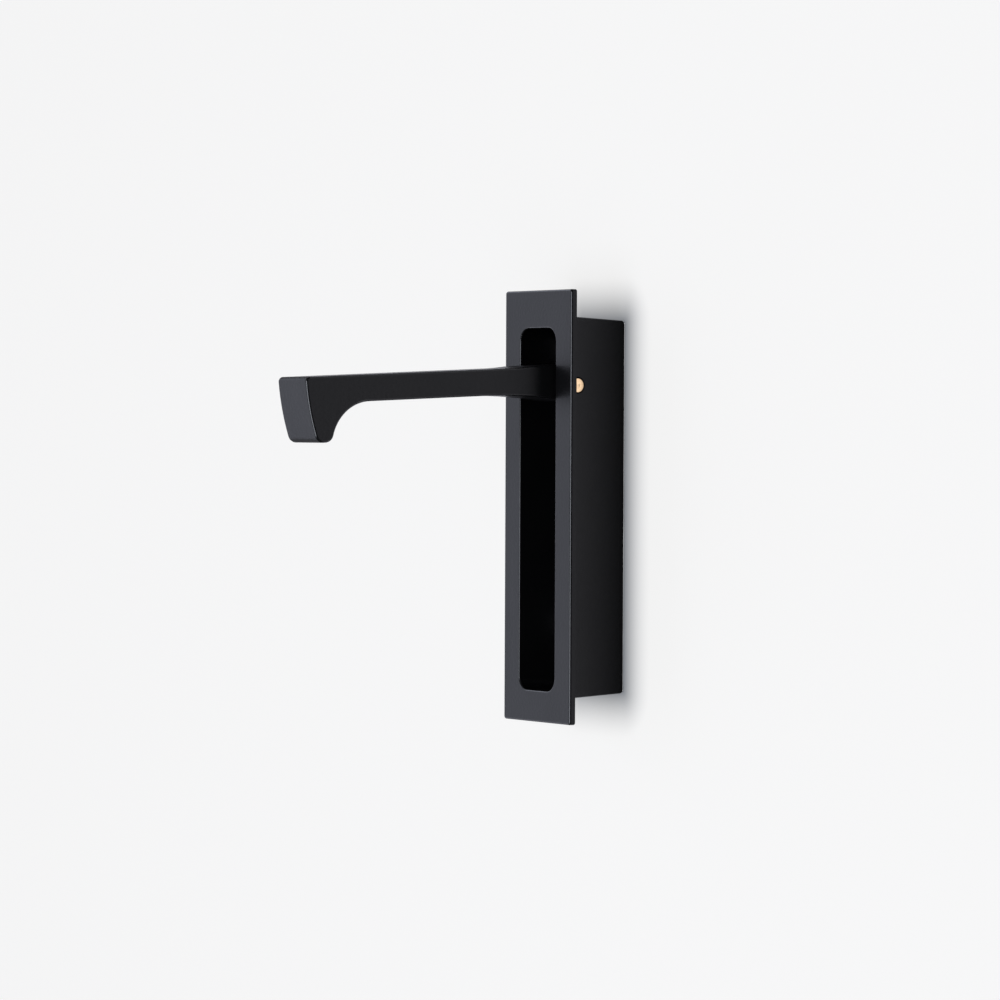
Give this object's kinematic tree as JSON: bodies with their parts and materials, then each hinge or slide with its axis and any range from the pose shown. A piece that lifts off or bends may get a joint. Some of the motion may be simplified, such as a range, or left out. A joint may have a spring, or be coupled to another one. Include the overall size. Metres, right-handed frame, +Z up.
{
  "type": "pocket door pull",
  "caption": "Edge pull for a sliding door: face plate with a long round-cornered slot, a narrow box behind it, and a hooked lever that folds into the slot and swings out on a pin.",
  "frame": {"origin": "middle of the face plate's back face, which lies on the door's edge", "axes": "+Z up the door's edge, +Y into the door, +X to the right of someone who looks at the plate"},
  "size_m": [0.034, 0.1002, 0.12],
  "materials": {
    "body_finish": "fine matte black coating on a casting",
    "lever_finish": "fine matte black coating on a casting",
    "pin_brass": "bare turned brass",
    "washer_plastic": "plain black plastic"
  },
  "bodies": {
    "pull_body": {"cast_body": "body_finish", "pivot_pin": "pin_brass", "washer_left": "washer_plastic", "washer_right": "washer_plastic"},
    "swing_lever": {"lever": "lever_finish"}
  },
  "joints": [
    {"name": "lever_swing", "type": "hinge", "parent": "pull_body", "child": "swing_lever", "pos_m": [0, 0.00365, 0.0336], "axis": [1, 0, 0], "range_deg": [-2.6, 87.4]}
  ]
}
